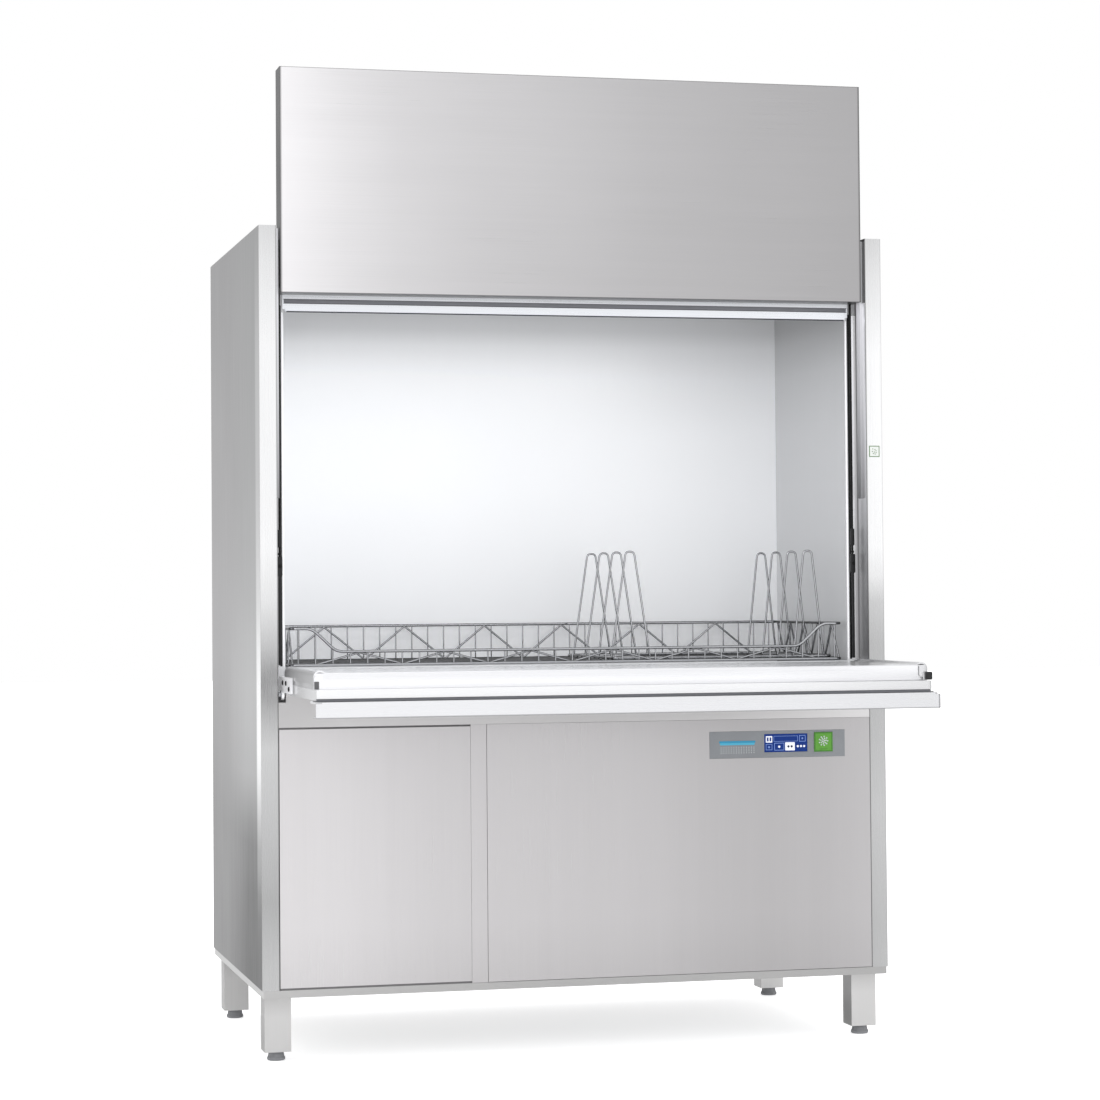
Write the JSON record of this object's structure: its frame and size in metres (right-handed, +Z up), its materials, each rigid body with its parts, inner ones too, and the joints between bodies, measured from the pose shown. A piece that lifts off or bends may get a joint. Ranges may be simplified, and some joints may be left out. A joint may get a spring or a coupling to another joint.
{
  "type": "utensil washer",
  "caption": "Front-loading stainless utensil washer with a split door, sliding upper door, fold-down flap, wire rack, wash arms and service doors.",
  "frame": {"origin": "on the floor, at the middle of the overall box with the door open", "axes": "+X to the machine's right as seen from the front, +Y from the front to the rear, +Z up"},
  "size_m": [1.472, 1.33, 2.231],
  "materials": {
    "brushed_panel": "fine vertical grain, satin",
    "bright_steel": "bright satin",
    "dark_steel": "plain mill finish",
    "rack_wire": "electropolished round wire",
    "foot_rubber": "matt moulded rubber",
    "black_plastic": "matt black",
    "cast_pump": "cast, lightly pitted",
    "motor_paint": "satin paint",
    "white_plastic": "moulded",
    "grey_trim": "satin membrane",
    "display_blue": "smooth lit display window",
    "button_green": "satin with a pale ring of dots"
  },
  "bodies": {
    "cabinet": {"balance_spring_left": "dark_steel", "balance_spring_right": "dark_steel", "base_frame": "brushed_panel", "control_bezel": "grey_trim", "display": "display_blue", "door_guide_left": "dark_steel", "door_guide_right": "dark_steel", "drain_pump": "black_plastic", "electrical_box": "grey_trim", "front_column_left": "bright_steel", "front_column_right": "bright_steel", "front_panel": "brushed_panel", "header_panel": "bright_steel", "hinge_pin_left": "dark_steel", "hinge_pin_right": "dark_steel", "inlet_valve": "white_plastic", "leg_front_left": "bright_steel", "leg_front_right": "bright_steel", "leg_rear_left": "bright_steel", "leg_rear_right": "bright_steel", "mullion": "brushed_panel", "rack_rail_left": "dark_steel", "rack_rail_right": "dark_steel", "rear_panel": "brushed_panel", "rinse_boiler": "dark_steel", "rinse_pump": "cast_pump", "roof_panel": "brushed_panel", "side_panel_left": "brushed_panel", "side_panel_right": "brushed_panel", "tank_heater": "dark_steel", "tank_strainer": "dark_steel", "upper_rail": "brushed_panel", "wash_chamber": "bright_steel", "wash_manifold": "dark_steel", "wash_pump_casing": "cast_pump", "wash_pump_motor": "motor_paint", "wash_tank": "dark_steel"},
    "upper_door": {"upper_door_shell": "brushed_panel", "upper_door_liner": "bright_steel", "door_slider_left": "black_plastic", "door_slider_right": "black_plastic", "door_link_left": "black_plastic", "door_link_right": "black_plastic"},
    "flap": {"flap_shell": "bright_steel", "flap_liner": "bright_steel", "flap_handle": "bright_steel", "flap_arm_left": "dark_steel", "flap_arm_right": "dark_steel"},
    "rack": {"wire_rack": "rack_wire", "tray_insert": "rack_wire"},
    "service_door": {"service_door": "brushed_panel"},
    "start_button": {"start_button": "button_green"},
    "upper_arm_left": {"upper_wash_arm_left": "bright_steel"},
    "upper_arm_right": {"upper_wash_arm_right": "bright_steel"},
    "lower_arm_left": {"lower_wash_arm_left": "bright_steel"},
    "lower_arm_right": {"lower_wash_arm_right": "bright_steel"},
    "foot_front_left": {"foot_front_left": "foot_rubber"},
    "foot_front_right": {"foot_front_right": "foot_rubber"},
    "foot_rear_left": {"foot_rear_left": "foot_rubber"},
    "foot_rear_right": {"foot_rear_right": "foot_rubber"}
  },
  "joints": [
    {"name": "door_slide", "type": "slide", "parent": "cabinet", "child": "upper_door", "axis": [0, 0, 1], "range_m": [-0.456, 0]},
    {"name": "flap_fold", "type": "hinge", "parent": "cabinet", "child": "flap", "pos_m": [0, -0.19, 0.823], "axis": [1, 0, 0], "range_deg": [-90, 0]},
    {"name": "rack_slide", "type": "slide", "parent": "cabinet", "child": "rack", "axis": [0, -1, 0], "range_m": [0, 0.405]},
    {"name": "service_door_hinge", "type": "hinge", "parent": "cabinet", "child": "service_door", "pos_m": [-0.694, -0.188, 0.457], "axis": [0, 0, -1], "range_deg": [0, 105]},
    {"name": "start_button_press", "type": "slide", "parent": "cabinet", "child": "start_button", "axis": [0, 1, 0], "range_m": [0, 0.0025]},
    {"name": "upper_arm_left_spin", "type": "hinge", "parent": "cabinet", "child": "upper_arm_left", "pos_m": [-0.335, 0.145, 1.737], "axis": [0, 0, 1], "continuous": true},
    {"name": "upper_arm_right_spin", "type": "hinge", "parent": "cabinet", "child": "upper_arm_right", "pos_m": [0.335, 0.145, 1.737], "axis": [0, 0, 1], "continuous": true},
    {"name": "lower_arm_left_spin", "type": "hinge", "parent": "cabinet", "child": "lower_arm_left", "pos_m": [-0.335, 0.145, 0.852], "axis": [0, 0, 1], "continuous": true},
    {"name": "lower_arm_right_spin", "type": "hinge", "parent": "cabinet", "child": "lower_arm_right", "pos_m": [0.335, 0.145, 0.852], "axis": [0, 0, 1], "continuous": true},
    {"name": "foot_front_left_level", "type": "slide", "parent": "cabinet", "child": "foot_front_left", "axis": [0, 0, -1], "range_m": [0, 0.02]},
    {"name": "foot_front_right_level", "type": "slide", "parent": "cabinet", "child": "foot_front_right", "axis": [0, 0, -1], "range_m": [0, 0.02]},
    {"name": "foot_rear_left_level", "type": "slide", "parent": "cabinet", "child": "foot_rear_left", "axis": [0, 0, -1], "range_m": [0, 0.02]},
    {"name": "foot_rear_right_level", "type": "slide", "parent": "cabinet", "child": "foot_rear_right", "axis": [0, 0, -1], "range_m": [0, 0.02]}
  ],
  "couplings": [
    {"joint": "flap_fold", "follows": "door_slide", "rad_per_m": 3.4447}
  ]
}
